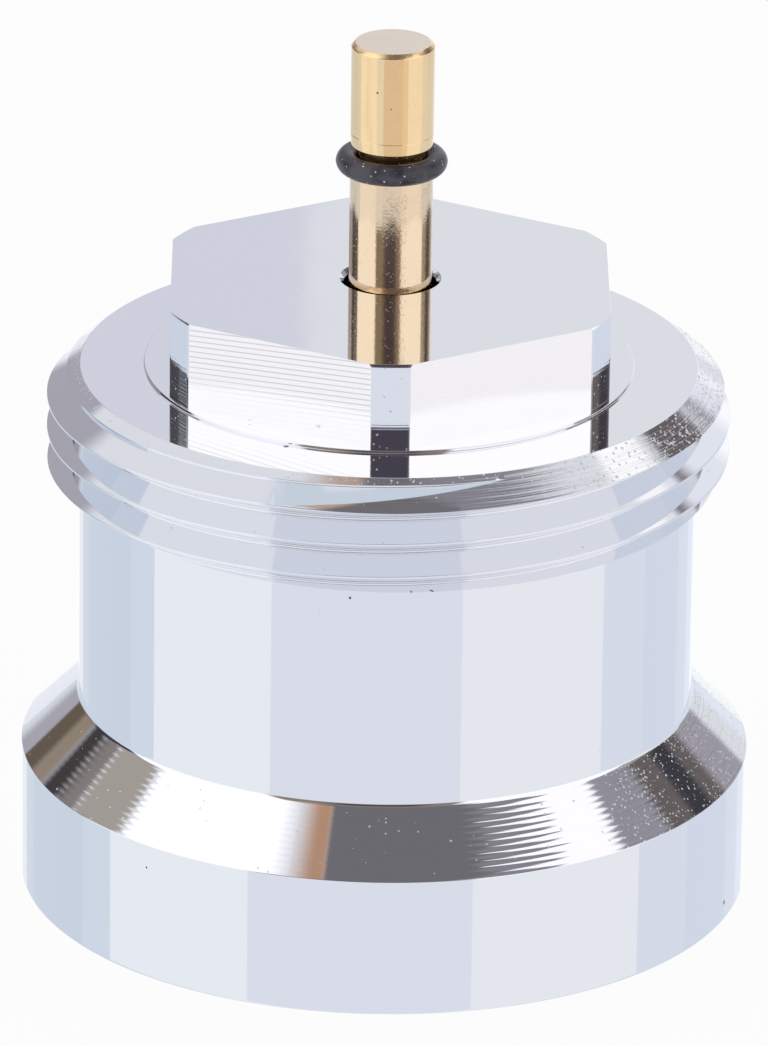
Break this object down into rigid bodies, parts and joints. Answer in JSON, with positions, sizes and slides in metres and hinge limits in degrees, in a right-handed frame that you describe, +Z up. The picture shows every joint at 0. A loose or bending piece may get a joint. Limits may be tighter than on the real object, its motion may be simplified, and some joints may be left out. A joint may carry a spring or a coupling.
{
  "type": "radiator thermostat adapter",
  "caption": "Plated brass adapter between a radiator valve with an M28 x 1.5 thread and a thermostat head with an M30 x 1.5 nut, with a sliding push pin sealed by a rubber ring.",
  "frame": {"origin": "middle of the skirt's lower face", "axes": "+Z up along the axis of both threads and the pin, towards the thermostat head; a corner of the hexagon points along -Y"},
  "size_m": [0.032, 0.032, 0.0388],
  "materials": {
    "plated_brass": "bright nickel plate over fine turning marks",
    "bare_brass": "bright drawn rod, a little tarnished",
    "black_rubber": "soft sheen with a little dust"
  },
  "bodies": {
    "adapter": {"adapter_body": "plated_brass"},
    "pin": {"push_pin": "bare_brass", "o_ring": "black_rubber"}
  },
  "joints": [
    {"name": "pin_slide", "type": "slide", "parent": "adapter", "child": "pin", "axis": [0, 0, 1], "range_m": [-0.0049, 0.005]}
  ]
}
